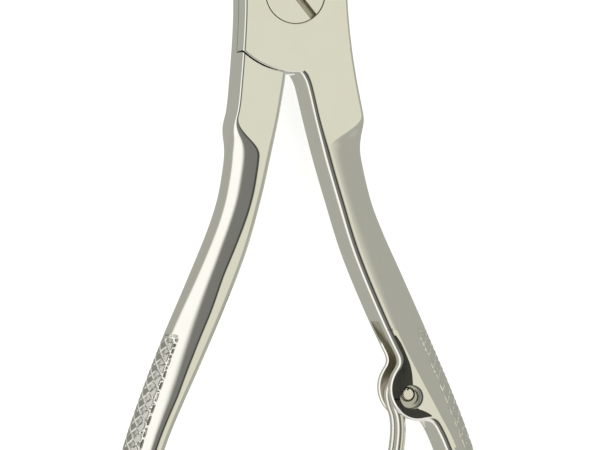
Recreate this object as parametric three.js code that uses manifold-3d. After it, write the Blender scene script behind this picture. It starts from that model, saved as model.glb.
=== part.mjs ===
// Grozing pliers for stained glass: two crossed forgings on a slotted pivot screw, opened by a
// doubled wire spring that turns on a pin in the right handle.
// Millimetres. The tool lies flat: +Z is its thickness and Z = 0 its back, +Y runs to the jaws.
// The origin is where the pivot axis meets the back.
import * as THREE from 'three';
import { mergeVertices } from 'three/addons/utils/BufferGeometryUtils.js';
import Module from 'manifold-3d';

const wasm = await Module();
wasm.setup();

// ---- driving dimensions ----
const THICKNESS = 11;
const MIDDLE = THICKNESS / 2;
const LAYER_GAP = 0.15;
const JAW_TIP = 52;
const HANDLE_END = -138;

// lap joint
const PLATE_RADIUS = 15.8;
const SHOULDER_RADIUS = 16.1;
const SCREW_HEAD_RADIUS = 6.05;
const SCREW_HEAD_DEPTH = 3.1;
const SCREW_SHANK_RADIUS = 4;
const SCREW_CLEARANCE = 0.15;
const SCREW_SLOT = { width: 1.2, depth: 1.5, angle: -52 };

// handle section: small fillets inside, one wide rounding outside
const INNER_FILLET = 1.2;
const PLATE_EDGE = 0.8;
const ROUND_WIDTH = 6.2;
const ROUND_DEPTH = 3.9;
const SHOULDER_TOP = -24;
const SHOULDER_BOTTOM = -33;
const END_ROUNDING = 5;
const FLAT_STRIP = 0.4;

// jaws
const JAW_HALF_ANGLE = 4;
const JAW_CLEARANCE = 0.1;
const JAW_HOLLOW = { start: 20, end: 47, depth: 2 };

// spring lug, pin and wire
const LUG = { x: 24.6, y: -79.9, radius: 6.6 };
const PIN = { x: 22.05, y: -81, radius: 1.15, bottom: 0.6, top: 9.9 };
const PIN_HOLE_RADIUS = 1.4;
const COUNTERBORE = { x: 22.3, y: -81.4, radius: 2.4, floor: 9.35 };
const WIRE_RADIUS = 1.05;
const WIRE_SPACING = 4.1;
const EYE_RADIUS = 2.5;
const SPRING_SLOT = { width: 6.6, start: -66.2, end: -90, floor: 25.9, deepFrom: -78.5, deepTo: -84.5, open: 8 };

// Outlines at rest, as [y, distance from the centre line].
const FRONT_OUTER = [
  [0, 10.8], [-5.4, 11.05], [-11.4, 11.6], [-17.5, 12.45], [-21.5, 13.15], [-25.5, 13.8],
  [-29, 13.75], [-33.5, 14.2], [-41.6, 15.95], [-47.7, 18.15], [-58, 22.7], [-70.2, 28],
  [-82.6, 33.1], [-92.7, 36.7], [-102, 39.4], [-115, 41.5], [-128, 42.1], [HANDLE_END, 41.8],
];
const FRONT_INNER = [
  [0, 0], [-15.5, 1.4], [-19, 2.15], [-25.1, 3.5], [-33.3, 5.45], [-41.4, 7.7], [-51.6, 10.7],
  [-61.9, 14.7], [-72.2, 19.3], [-84.6, 25.7], [-91, 28.9], [-102, 32.6], [-115, 34.6],
  [-128, 35.2], [HANDLE_END, 35.2],
];
const REAR_OUTER = [
  [0, 10.4], [-4.7, 10.55], [-10.8, 11], [-16.8, 11.6], [-22.9, 12.35], [-26.9, 13.4],
  [-31, 13.8], [-35, 14.3], [-41, 15.55], [-47, 17.65], [-57, 22.1], [-68.8, 27.55],
  [-80.7, 32.5], [-90.4, 36], [-102, 39.3], [-115, 41.4], [-128, 42.1], [HANDLE_END, 41.8],
];
const REAR_INNER = [
  [0, 0], [-15.5, 2.1], [-19.3, 2.75], [-25.3, 3.95], [-33.3, 5.8], [-41.2, 7.8], [-51.2, 10.9],
  [-61.1, 15], [-72.9, 20.4], [-84.6, 26], [-90.3, 28.4], [-102, 32.4], [-115, 34.5],
  [-128, 35.2], [HANDLE_END, 35.2],
];
const JAW_OUTER = [[0, 10.6], [8, 10.5], [16, 10], [28, 9.3], [40, 8.9], [48, 8.6], [JAW_TIP, 8.3]];

// The spring's bow from the eye at the pin round to the other handle, as [x, y].
const SPRING_BOW = [
  [19.65, -82.5], [20.3, -85], [20.85, -88.2], [20.4, -92.5], [19.1, -98.5], [15.6, -106.2], [9, -113],
  [-0.7, -117], [-11.5, -116.6], [-21, -112.6], [-27.4, -107.4], [-30.4, -103.6],
];
const SPRING_SEAT = { x: -29, y: -103, radius: 4.2 };

// ---- materials ----
const STEEL = { color: 0xc9c8bb, roughness: 0.18, metalness: 1 };
const WIRE_STEEL = { color: 0xb9b7a9, roughness: 0.25, metalness: 1 };

// ---- helpers ----
const mix = (a, b, t) => a + (b - a) * t;
const smooth = (t) => THREE.MathUtils.smoothstep(t, 0, 1);

// A smooth curve x(y) through an outline's points, by cubic Hermite pieces.
function profile(points) {
  const rows = [...points].sort((a, b) => a[0] - b[0]);
  const last = rows.length - 1;
  const slope = (i) => {
    const [low, high] = [rows[Math.max(i - 1, 0)], rows[Math.min(i + 1, last)]];
    return (high[1] - low[1]) / (high[0] - low[0]);
  };
  return (y) => {
    const i = Math.min(Math.max(rows.findIndex((row) => row[0] > y) - 1, 0), last - 1);
    const piece = y >= rows[last][0] ? last - 1 : i;
    const [[y0, x0], [y1, x1]] = [rows[piece], rows[piece + 1]];
    const span = y1 - y0;
    const t = (y - y0) / span;
    const h = t * t * (3 - 2 * t);
    return mix(x0, x1, h) + span * t * (1 - t) * ((1 - t) * slope(piece) - t * slope(piece + 1));
  };
}

// Heights from low to high, with a finer step between fineLow and fineHigh.
function stations(low, high, step, fineLow, fineHigh, fineStep) {
  const rows = [];
  for (let y = low; y < high - fineStep / 2; y += y >= fineLow && y < fineHigh ? fineStep : step) {
    rows.push(y);
  }
  rows.push(high);
  return rows;
}

// A closed skin over rings of equal point count, with flat caps.
function loft(rings) {
  const count = rings[0].length;
  const positions = rings.flat().flatMap((p) => [p.x, p.y, p.z]);
  const index = [];
  for (let r = 0; r < rings.length - 1; r += 1) {
    for (let i = 0; i < count; i += 1) {
      const a = r * count + i;
      const b = r * count + (i + 1) % count;
      index.push(a, a + count, b, b, a + count, b + count);
    }
  }
  const outline = rings[0].map((p) => new THREE.Vector2(p.x, p.z));
  const top = (rings.length - 1) * count;
  for (const [a, b, c] of THREE.ShapeUtils.triangulateShape(outline, [])) {
    index.push(a, b, c, top + a, top + c, top + b);
  }
  const geometry = new THREE.BufferGeometry();
  geometry.setAttribute('position', new THREE.Float32BufferAttribute(positions, 3));
  geometry.setIndex(index);
  return geometry;
}

function solid(geometry) {
  const plain = geometry.clone();
  plain.deleteAttribute('normal');
  plain.deleteAttribute('uv');
  const merged = mergeVertices(plain, 1e-4);
  const mesh = new wasm.Mesh({
    numProp: 3,
    vertProperties: new Float32Array(merged.attributes.position.array),
    triVerts: new Uint32Array(merged.index.array),
  });
  return new wasm.Manifold(mesh);
}

function geometryOf(body) {
  const mesh = body.getMesh();
  const geometry = new THREE.BufferGeometry();
  geometry.setAttribute('position', new THREE.Float32BufferAttribute(mesh.vertProperties, 3));
  geometry.setIndex(new THREE.Uint32BufferAttribute(mesh.triVerts, 1));
  return geometry;
}

function cylinder(radius, bottom, top, x = 0, y = 0, sides = 48) {
  const geometry = new THREE.CylinderGeometry(radius, radius, top - bottom, sides);
  geometry.rotateX(Math.PI / 2);
  geometry.translate(x, y, (bottom + top) / 2);
  return solid(geometry);
}

// A quarter ellipse of corner points, from one edge of a section to the next.
function corner(cx, cz, width, depth, fromAngle, steps) {
  return Array.from({ length: steps + 1 }, (_, i) => {
    const angle = THREE.MathUtils.degToRad(fromAngle + (90 * i) / steps);
    return [cx + width * Math.cos(angle), cz + depth * Math.sin(angle)];
  });
}

// A section at height y: fillets at the inner side, a rounding of width and depth outside.
function section(y, inner, outer, width, depth, shrink = 1) {
  const fillet = INNER_FILLET;
  const points = [
    ...corner(outer - width, depth, width, depth, 270, 5),
    ...corner(outer - width, THICKNESS - depth, width, depth, 0, 5),
    ...corner(inner + fillet, THICKNESS - fillet, fillet, fillet, 90, 2),
    ...corner(inner + fillet, fillet, fillet, fillet, 180, 2),
  ];
  const middle = (inner + outer) / 2;
  return points.map(([x, z]) => new THREE.Vector3(mix(middle, x, shrink), y, mix(MIDDLE, z, shrink)));
}

// ---- the two forgings, each first built with its handle on +X and its plate on top ----
function handle(innerPoints, outerPoints) {
  const inner = profile(innerPoints);
  const outer = profile(outerPoints);
  const endStart = HANDLE_END + END_ROUNDING;
  const round = Array.from({ length: 5 }, (_, i) => HANDLE_END + END_ROUNDING * (1 - Math.cos(i * 0.35)));
  const rows = [...round.filter((y) => y < endStart - 1), ...stations(endStart, 0, 4, -37, -15, 1.5)];
  const rings = rows.map((y) => {
    const grow = smooth((SHOULDER_TOP - y) / (SHOULDER_TOP - SHOULDER_BOTTOM));
    const room = outer(y) - inner(y) - INNER_FILLET - FLAT_STRIP;
    const width = Math.min(mix(PLATE_EDGE, ROUND_WIDTH, grow), room);
    const depth = mix(PLATE_EDGE, ROUND_DEPTH, grow);
    const t = Math.max((endStart - y) / END_ROUNDING, 0);
    const shrink = Math.sqrt(Math.max(1 - t * t, 0.1));
    return section(y, inner(y), outer(y), width, depth, shrink);
  });
  return solid(loft(rings));
}

// The jaw stands on -X. A hollow makes the curved jaw, which meets the flat one at the tip.
function jaw(hollowDepth) {
  const outer = profile(JAW_OUTER);
  const slope = Math.tan(THREE.MathUtils.degToRad(JAW_HALF_ANGLE));
  const inner = (y) => {
    const t = THREE.MathUtils.clamp((y - JAW_HOLLOW.start) / (JAW_HOLLOW.end - JAW_HOLLOW.start), 0, 1);
    return JAW_CLEARANCE + slope * y + hollowDepth * Math.sin(Math.PI * t);
  };
  const rings = stations(0, JAW_TIP, 4, 18, 48, 2).map((y) => {
    const points = section(y, inner(y), outer(y), PLATE_EDGE, PLATE_EDGE);
    return points.map((p) => new THREE.Vector3(-p.x, p.y, p.z)).reverse();
  });
  return solid(loft(rings));
}

// The half-thickness disc of the lap joint, on top, with the outlines of both halves as its sides.
function plate(ownOuter, otherOuter) {
  const above = profile(JAW_OUTER);
  const edge = (points) => {
    const below = profile(points);
    return (y) => (y < 0 ? below(y) : above(y));
  };
  const [right, left] = [edge(ownOuter), edge(otherOuter)];
  const side = (y, outer) => section(y, 0, outer, PLATE_EDGE, PLATE_EDGE).slice(0, 12);
  const rings = stations(-PLATE_RADIUS - 1, PLATE_RADIUS + 1, 2, 0, 0, 2).map((y) => {
    const mirrored = side(y, left(y)).map((p) => new THREE.Vector3(-p.x, p.y, p.z));
    return [...side(y, right(y)), ...mirrored.reverse()];
  });
  const disc = cylinder(PLATE_RADIUS, MIDDLE + LAYER_GAP, THICKNESS + 1, 0, 0, 96);
  return solid(loft(rings)).intersect(disc);
}

function forging(innerPoints, outerPoints, otherOuter, hollowDepth) {
  const otherPlate = cylinder(SHOULDER_RADIUS, -1, MIDDLE + LAYER_GAP, 0, 0, 96);
  const limbs = handle(innerPoints, outerPoints).add(jaw(hollowDepth));
  return limbs.subtract(otherPlate).add(plate(outerPoints, otherOuter));
}

function extrusion(shape, bottom, top, curveSegments = 12) {
  const options = { depth: top - bottom, bevelEnabled: false, curveSegments };
  return solid(new THREE.ExtrudeGeometry(shape, options).translate(0, 0, bottom));
}

// The round lug on the inner side of the right handle.
function lug() {
  const circle = new THREE.Shape().absarc(LUG.x, LUG.y, LUG.radius - INNER_FILLET, 0, 2 * Math.PI);
  const geometry = new THREE.ExtrudeGeometry(circle, {
    depth: THICKNESS - 2 * INNER_FILLET,
    bevelThickness: INNER_FILLET,
    bevelSize: INNER_FILLET,
    bevelSegments: 2,
    curveSegments: 20,
  });
  return solid(geometry.translate(0, 0, INNER_FILLET));
}

// The milled slot for the spring, running out above the lug and open at its foot.
function springSlot() {
  const { width, start, end, floor, deepFrom, deepTo, open } = SPRING_SLOT;
  const surface = profile(FRONT_INNER)(start);
  const shape = new THREE.Shape();
  shape.moveTo(open, start);
  shape.lineTo(surface, start);
  shape.quadraticCurveTo((surface + floor) / 2, (start + deepFrom) / 2 - 1, floor, deepFrom);
  shape.lineTo(floor, deepTo);
  shape.quadraticCurveTo(floor, (deepTo + end) / 2, floor - 1.3, end);
  shape.lineTo(open, end);
  return extrusion(shape, MIDDLE - width / 2, MIDDLE + width / 2);
}

// The shallow seat in the left handle that takes the bend of the spring, in the forging's own pose.
function springSeat() {
  const half = WIRE_SPACING / 2 + WIRE_RADIUS + 0.4;
  return cylinder(SPRING_SEAT.radius, MIDDLE - half, MIDDLE + half, -SPRING_SEAT.x, SPRING_SEAT.y, 32);
}

function frontHalf() {
  const holes = [
    cylinder(SCREW_HEAD_RADIUS + SCREW_CLEARANCE, THICKNESS - SCREW_HEAD_DEPTH - SCREW_CLEARANCE, THICKNESS + 1),
    cylinder(SCREW_SHANK_RADIUS + SCREW_CLEARANCE, 0, THICKNESS),
    cylinder(PIN_HOLE_RADIUS, -1, THICKNESS + 1, PIN.x, PIN.y, 32),
    cylinder(COUNTERBORE.radius, COUNTERBORE.floor, THICKNESS + 1, COUNTERBORE.x, COUNTERBORE.y, 32),
    springSlot(),
  ];
  const blank = forging(FRONT_INNER, FRONT_OUTER, REAR_OUTER, 0).add(lug());
  return holes.reduce((body, hole) => body.subtract(hole), blank);
}

// Built like the front half, then turned over about the Y axis.
function rearHalf() {
  const thread = cylinder(SCREW_SHANK_RADIUS + SCREW_CLEARANCE, -1, THICKNESS + 1);
  const body = forging(REAR_INNER, REAR_OUTER, FRONT_OUTER, JAW_HOLLOW.depth);
  const turned = geometryOf(body.subtract(thread).subtract(springSeat()));
  return turned.rotateY(Math.PI).translate(0, 0, THICKNESS);
}

function pivotScrew() {
  const underHead = THICKNESS - SCREW_HEAD_DEPTH;
  const outline = [
    [0, 0], [SCREW_SHANK_RADIUS - 0.3, 0], [SCREW_SHANK_RADIUS, 0.3], [SCREW_SHANK_RADIUS, underHead],
    [SCREW_HEAD_RADIUS, underHead], [SCREW_HEAD_RADIUS, THICKNESS - 0.15],
    [SCREW_HEAD_RADIUS - 0.15, THICKNESS], [0, THICKNESS],
  ].map(([r, z]) => new THREE.Vector2(r, z));
  const blank = solid(new THREE.LatheGeometry(outline, 48).rotateX(Math.PI / 2));
  const slot = new THREE.BoxGeometry(3 * SCREW_HEAD_RADIUS, SCREW_SLOT.width, 2 * SCREW_SLOT.depth);
  slot.rotateZ(THREE.MathUtils.degToRad(SCREW_SLOT.angle)).translate(0, 0, THICKNESS);
  return blank.subtract(solid(slot));
}

function springPin() {
  const dome = Array.from({ length: 4 }, (_, i) => {
    const angle = (Math.PI / 2) * (i / 3);
    return [PIN.radius - 0.35 + 0.35 * Math.cos(angle), PIN.top - 0.35 + 0.35 * Math.sin(angle)];
  });
  const outline = [[0, PIN.bottom], [PIN.radius, PIN.bottom], ...dome, [0, PIN.top]];
  const points = outline.map(([r, z]) => new THREE.Vector2(r, z));
  const geometry = new THREE.LatheGeometry(points, 24).rotateX(Math.PI / 2);
  return solid(geometry.translate(PIN.x, PIN.y, 0));
}

// One wire: an eye round the pin, the bow, a bend across, the bow back and the second eye.
function wireSpring() {
  const [front, back] = [MIDDLE + WIRE_SPACING / 2, MIDDLE - WIRE_SPACING / 2];
  const eye = Array.from({ length: 11 }, (_, i) => {
    const angle = THREE.MathUtils.degToRad(27 * i - 90);
    return [PIN.x + EYE_RADIUS * Math.cos(angle), PIN.y + EYE_RADIUS * Math.sin(angle)];
  });
  const leg = [...eye, ...SPRING_BOW];
  const [endX, endY] = leg[leg.length - 1];
  const [beforeX, beforeY] = leg[leg.length - 2];
  const reach = Math.hypot(endX - beforeX, endY - beforeY);
  const bend = [45, 90, 135].map((degrees) => {
    const angle = THREE.MathUtils.degToRad(degrees);
    const out = (WIRE_SPACING / 2) * Math.sin(angle) / reach;
    const z = MIDDLE + (WIRE_SPACING / 2) * Math.cos(angle);
    return new THREE.Vector3(endX + (endX - beforeX) * out, endY + (endY - beforeY) * out, z);
  });
  const forward = leg.map(([x, y]) => new THREE.Vector3(x, y, front));
  const returning = leg.map(([x, y]) => new THREE.Vector3(x, y, back)).reverse();
  const path = new THREE.CatmullRomCurve3([...forward, ...bend, ...returning]);
  const circle = new THREE.Shape().absarc(0, 0, WIRE_RADIUS, 0, 2 * Math.PI);
  return solid(new THREE.ExtrudeGeometry(circle, { steps: 150, curveSegments: 4, extrudePath: path }));
}

// ---- the assembly ----
function piece(name, geometry, finish) {
  const mesh = new THREE.Mesh(geometry, new THREE.MeshStandardMaterial(finish));
  mesh.name = name;
  return mesh;
}

const pliers = new THREE.Group();
pliers.add(
  piece('front_half', geometryOf(frontHalf()), STEEL),
  piece('rear_half', rearHalf(), STEEL),
  piece('pivot_screw', geometryOf(pivotScrew()), STEEL),
  piece('spring_pin', geometryOf(springPin()), STEEL),
  piece('wire_spring', geometryOf(wireSpring()), WIRE_STEEL),
);

export default pliers;
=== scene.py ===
"""Grozing pliers for stained glass: two plated forgings on a slotted screw, sprung by a doubled wire."""

import logging
import math
from dataclasses import dataclass, field
from enum import Enum
from typing import Callable, Iterable, Sequence

import bpy
import bmesh
from mathutils import Matrix, Vector
from mathutils.bvhtree import BVHTree


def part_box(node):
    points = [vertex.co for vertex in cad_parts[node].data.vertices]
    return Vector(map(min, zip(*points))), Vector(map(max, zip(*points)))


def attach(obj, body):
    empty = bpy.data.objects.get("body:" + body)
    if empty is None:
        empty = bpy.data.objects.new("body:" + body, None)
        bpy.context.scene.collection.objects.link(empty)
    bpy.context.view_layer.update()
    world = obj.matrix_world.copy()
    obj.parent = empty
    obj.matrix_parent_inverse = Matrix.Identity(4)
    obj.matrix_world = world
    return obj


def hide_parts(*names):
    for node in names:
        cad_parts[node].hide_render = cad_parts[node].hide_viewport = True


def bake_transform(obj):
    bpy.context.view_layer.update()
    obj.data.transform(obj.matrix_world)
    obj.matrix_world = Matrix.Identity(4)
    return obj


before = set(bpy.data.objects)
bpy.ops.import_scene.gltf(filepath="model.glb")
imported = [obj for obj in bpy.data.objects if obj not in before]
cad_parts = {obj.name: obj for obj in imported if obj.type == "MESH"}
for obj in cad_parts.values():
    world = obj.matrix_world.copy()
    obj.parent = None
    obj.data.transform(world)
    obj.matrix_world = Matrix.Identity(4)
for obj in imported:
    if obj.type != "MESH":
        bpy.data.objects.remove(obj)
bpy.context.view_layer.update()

log = logging.getLogger("grozing_pliers")

MM = 0.001
Point = tuple[float, float, float]
Ring = list[Point]
Rows = list[tuple[float, float]]
Colour = tuple[float, ...]


def node_box(name: str) -> tuple[Vector, Vector]:
    """Give a frame node's corners in millimetres.

    Args:
        name: The node in the frame.

    Returns:
        The lowest and the highest corner.
    """
    low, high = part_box(name)
    return Vector(low) / MM, Vector(high) / MM


FRONT_LOW, FRONT_HIGH = node_box("front_half")
THICKNESS = FRONT_HIGH.z - FRONT_LOW.z
MIDDLE = THICKNESS / 2
JAW_TIP = FRONT_HIGH.y
HANDLE_END = FRONT_LOW.y


# ---- plain maths ----
def mix(a: float, b: float, t: float) -> float:
    """Give the value a part t of the way from a to b."""
    return a + (b - a) * t


def smooth(t: float) -> float:
    """Ease t from 0 to 1 with flat ends."""
    t = min(max(t, 0.0), 1.0)
    return t * t * (3 - 2 * t)


def profile(points: Rows) -> Callable[[float], float]:
    """Make the smooth outline x(y) through a list of points.

    Args:
        points: Pairs of y and the distance from the centre line.

    Returns:
        A function from y to that distance.
    """
    rows = sorted(points)
    last = len(rows) - 1

    def slope(i: int) -> float:
        """Give the outline's slope at a listed point."""
        low, high = rows[max(i - 1, 0)], rows[min(i + 1, last)]
        return (high[1] - low[1]) / (high[0] - low[0])

    def at(y: float) -> float:
        """Give the outline's distance at y."""
        i = 0
        while i < last - 1 and y >= rows[i + 1][0]:
            i += 1
        (y0, x0), (y1, x1) = rows[i], rows[i + 1]
        span = y1 - y0
        t = (y - y0) / span
        bend = span * t * (1 - t) * ((1 - t) * slope(i) - t * slope(i + 1))
        return mix(x0, x1, t * t * (3 - 2 * t)) + bend

    return at


def heights(*spans: tuple[float, float, float]) -> list[float]:
    """List heights along a limb from joined spans.

    Args:
        spans: Each span's low end, high end and step.

    Returns:
        The heights, rising, with no repeats.
    """
    rows: list[float] = []
    for low, high, step in spans:
        count = max(1, round((high - low) / step))
        rows += [mix(low, high, i / count) for i in range(count)]
    return rows + [spans[-1][1]]


# ---- node trees as expressions ----
class Value:
    """A number socket whose arithmetic adds Math nodes."""

    def __init__(self, tree: "Tree", socket: bpy.types.NodeSocket) -> None:
        """Wrap a socket of a tree."""
        self.tree = tree
        self.socket = socket

    def math(self, operation: str, *others: "Value | float", clamp: bool = False) -> "Value":
        """Add a Math node.

        Args:
            operation: The node's operation.
            others: The values of its other inputs.
            clamp: Whether the result is kept between 0 and 1.

        Returns:
            The node's result.
        """
        settings = {"operation": operation, "use_clamp": clamp}
        inputs = dict(enumerate([self, *others]))
        return self.tree.value(self.tree.node("ShaderNodeMath", settings, inputs))

    def __add__(self, other: "Value | float") -> "Value":
        """Add."""
        return self.math("ADD", other)

    __radd__ = __add__

    def __sub__(self, other: "Value | float") -> "Value":
        """Subtract."""
        return self.math("SUBTRACT", other)

    def __rsub__(self, other: float) -> "Value":
        """Subtract from a number."""
        return self.math("MULTIPLY_ADD", -1.0, other)

    def __mul__(self, other: "Value | float") -> "Value":
        """Multiply."""
        return self.math("MULTIPLY", other)

    __rmul__ = __mul__

    def __truediv__(self, other: "Value | float") -> "Value":
        """Divide."""
        return self.math("DIVIDE", other)

    def __neg__(self) -> "Value":
        """Change the sign."""
        return self.math("MULTIPLY", -1.0)

    def __abs__(self) -> "Value":
        """Give the size without the sign."""
        return self.math("ABSOLUTE")


class Tree:
    """A node tree with one method that adds any node."""

    def __init__(self, tree: bpy.types.NodeTree) -> None:
        """Start with an empty tree."""
        self.tree = tree
        tree.nodes.clear()

    def node(self, kind: str, settings: dict | None = None, inputs: dict | None = None) -> bpy.types.Node:
        """Add a node.

        Args:
            kind: The node's type.
            settings: Its properties.
            inputs: Socket name or number to a value, a wrapped value or a socket.

        Returns:
            The new node.
        """
        made = self.tree.nodes.new(kind)
        for name, setting in (settings or {}).items():
            setattr(made, name, setting)
        for name, given in (inputs or {}).items():
            socket = made.inputs[name]
            if isinstance(given, Value):
                given = given.socket
            if isinstance(given, bpy.types.NodeSocket):
                self.tree.links.new(given, socket)
            else:
                socket.default_value = given
        return made

    def value(self, node: bpy.types.Node, output: str | int = 0) -> Value:
        """Wrap one of a node's outputs."""
        return Value(self, node.outputs[output])

    def blend(self, share: Value, under: Colour | bpy.types.NodeSocket, over: Colour) -> bpy.types.NodeSocket:
        """Lay one colour over another.

        Args:
            share: How much of the upper colour shows.
            under: The lower colour.
            over: The upper colour.

        Returns:
            The colour socket of the result.
        """
        inputs = {"Factor": share, "A": under, "B": over}
        return self.node("ShaderNodeMix", {"data_type": "RGBA"}, inputs).outputs["Result"]


def smooth_step(value: Value, low: float, high: float) -> Value:
    """Ease a value from 0 at low to 1 at high."""
    settings = {"interpolation_type": "SMOOTHSTEP"}
    inputs = {"Value": value, "From Min": low, "From Max": high}
    return value.tree.value(value.tree.node("ShaderNodeMapRange", settings, inputs))


# ---- meshes ----
def new_object(name: str, mesh: bpy.types.Mesh) -> bpy.types.Object:
    """Put a mesh into the scene as an object at the origin."""
    made = bpy.data.objects.new(name, mesh)
    bpy.context.scene.collection.objects.link(made)
    return made


def loft(
    name: str, rings: Sequence[Ring], marks: dict[str, Sequence[Sequence[float]]] | None = None
) -> bpy.types.Object:
    """Skin rings of equal point count and cap both ends.

    Args:
        name: The new object's name.
        rings: The rings in millimetres, each anticlockwise seen from its lower end.
        marks: Attribute name to one number for each point of each ring.

    Returns:
        The object.
    """
    count = len(rings[0])
    points = [tuple(c * MM for c in p) for ring in rings for p in ring]
    last = len(points)
    faces: list[tuple[int, ...]] = [tuple(range(count)), tuple(range(last - 1, last - count - 1, -1))]
    for r in range(len(rings) - 1):
        for i in range(count):
            a, b = r * count + i, r * count + (i + 1) % count
            faces.append((a, a + count, b + count, b))
    mesh = bpy.data.meshes.new(name)
    mesh.from_pydata(points, [], faces)
    for mark, values in (marks or {}).items():
        layer = mesh.attributes.new(mark, "FLOAT", "POINT")
        layer.data.foreach_set("value", [v for ring in values for v in ring])
    mesh.validate()
    made = new_object(name, mesh)
    face_outwards(made)
    return made


def face_outwards(piece: bpy.types.Object) -> None:
    """Turn a closed mesh's faces so that they all point out.

    Args:
        piece: The object whose mesh is turned.
    """
    work = bmesh.new()
    work.from_mesh(piece.data)
    bmesh.ops.recalc_face_normals(work, faces=work.faces)
    if work.calc_volume(signed=True) < 0:
        bmesh.ops.reverse_faces(work, faces=work.faces)
    work.to_mesh(piece.data)
    work.free()


def lathe(
    name: str, outline: Rows, centre: tuple[float, float] = (0, 0), sides: int = 128
) -> bpy.types.Object:
    """Turn an outline about an upright axis.

    Args:
        name: The new object's name.
        outline: Pairs of radius and height, from the axis at the bottom to the axis at the top.
        centre: The axis's x and y.
        sides: How many sides the turned shape has.

    Returns:
        The object.
    """
    rim = [(r, z) for r, z in outline if r > 0]
    rings = []
    for r, z in rim:
        turns = [math.tau * i / sides for i in range(sides)]
        rings.append([(centre[0] + r * math.cos(a), centre[1] + r * math.sin(a), z) for a in turns])
    return loft(name, rings)


def slab(name: str, outline: Sequence[tuple[float, float]], low: float, high: float) -> bpy.types.Object:
    """Make an upright block of an outline in x and y."""
    return loft(name, [[(x, y, z) for x, y in outline] for z in (low, high)])


def settle(piece: bpy.types.Object) -> None:
    """Turn an object's modifiers into plain mesh and remove them.

    Args:
        piece: The object.
    """
    seen = piece.evaluated_get(bpy.context.evaluated_depsgraph_get())
    mesh = bpy.data.meshes.new_from_object(seen)
    piece.modifiers.clear()
    old = piece.data
    piece.data = mesh
    mesh.name = piece.name
    bpy.data.meshes.remove(old)


def combine(piece: bpy.types.Object, operation: str, tools: Iterable[bpy.types.Object]) -> bpy.types.Object:
    """Join, cut or trim a solid with others, which are used up.

    Args:
        piece: The solid that is changed.
        operation: UNION, DIFFERENCE or INTERSECT.
        tools: The other solids.

    Returns:
        The changed solid.
    """
    for tool in tools:
        if piece.data.materials and not tool.data.materials:
            tool.data.materials.append(piece.data.materials[0])
        step = piece.modifiers.new(operation, "BOOLEAN")
        step.operation = operation
        step.solver = "MANIFOLD"
        step.object = tool
        settle(piece)
        bpy.data.objects.remove(tool)
    return piece


def mill(
    piece: bpy.types.Object, tools: list[bpy.types.Object], milled: bpy.types.Material
) -> bpy.types.Object:
    """Cut with tools and give the cut walls their own finish.

    Args:
        piece: The solid that is cut.
        tools: The solids that cut it, which are used up.
        milled: The finish of the cut walls.

    Returns:
        The cut solid.
    """
    skins = [BVHTree.FromObject(tool, bpy.context.evaluated_depsgraph_get()) for tool in tools]
    combine(piece, "DIFFERENCE", tools)
    piece.data.materials.append(milled)
    near = 0.002 * MM
    for face in piece.data.polygons:
        if any(skin.find_nearest(face.center, near)[0] is not None for skin in skins):
            face.material_index = len(piece.data.materials) - 1
    return piece


def finish_shading(piece: bpy.types.Object, angle: float = 32) -> None:
    """Shade a metal piece smooth, with crisp edges and true flats.

    Args:
        piece: The metal piece.
        angle: The angle in degrees above which an edge stays crisp.
    """
    mesh = piece.data
    mesh.polygons.foreach_set("use_smooth", [True] * len(mesh.polygons))
    mesh.set_sharp_from_angle(angle=math.radians(angle))
    work = bmesh.new()
    work.from_mesh(mesh)
    for edge in work.edges:
        names = {mesh.materials[face.material_index].name for face in edge.link_faces}
        # Edges between the plating and the painted-shade grip ground stay smooth.
        if len(names) > 1 and not names & {DARK_PAINTED_SHADE.name, LIGHT_PAINTED_SHADE.name}:
            edge.smooth = False
    work.to_mesh(mesh)
    work.free()
    weigh = piece.modifiers.new("true_flats", "WEIGHTED_NORMAL")
    weigh.keep_sharp = True
    weigh.weight = 100
    settle(piece)


# ---- node trees that shape what repeats ----
def grid_lines(value: Value, pitch: float) -> Value:
    """Give the distance from a value to the nearest multiple of the pitch."""
    return value.math("PINGPONG", pitch / 2)


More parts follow.
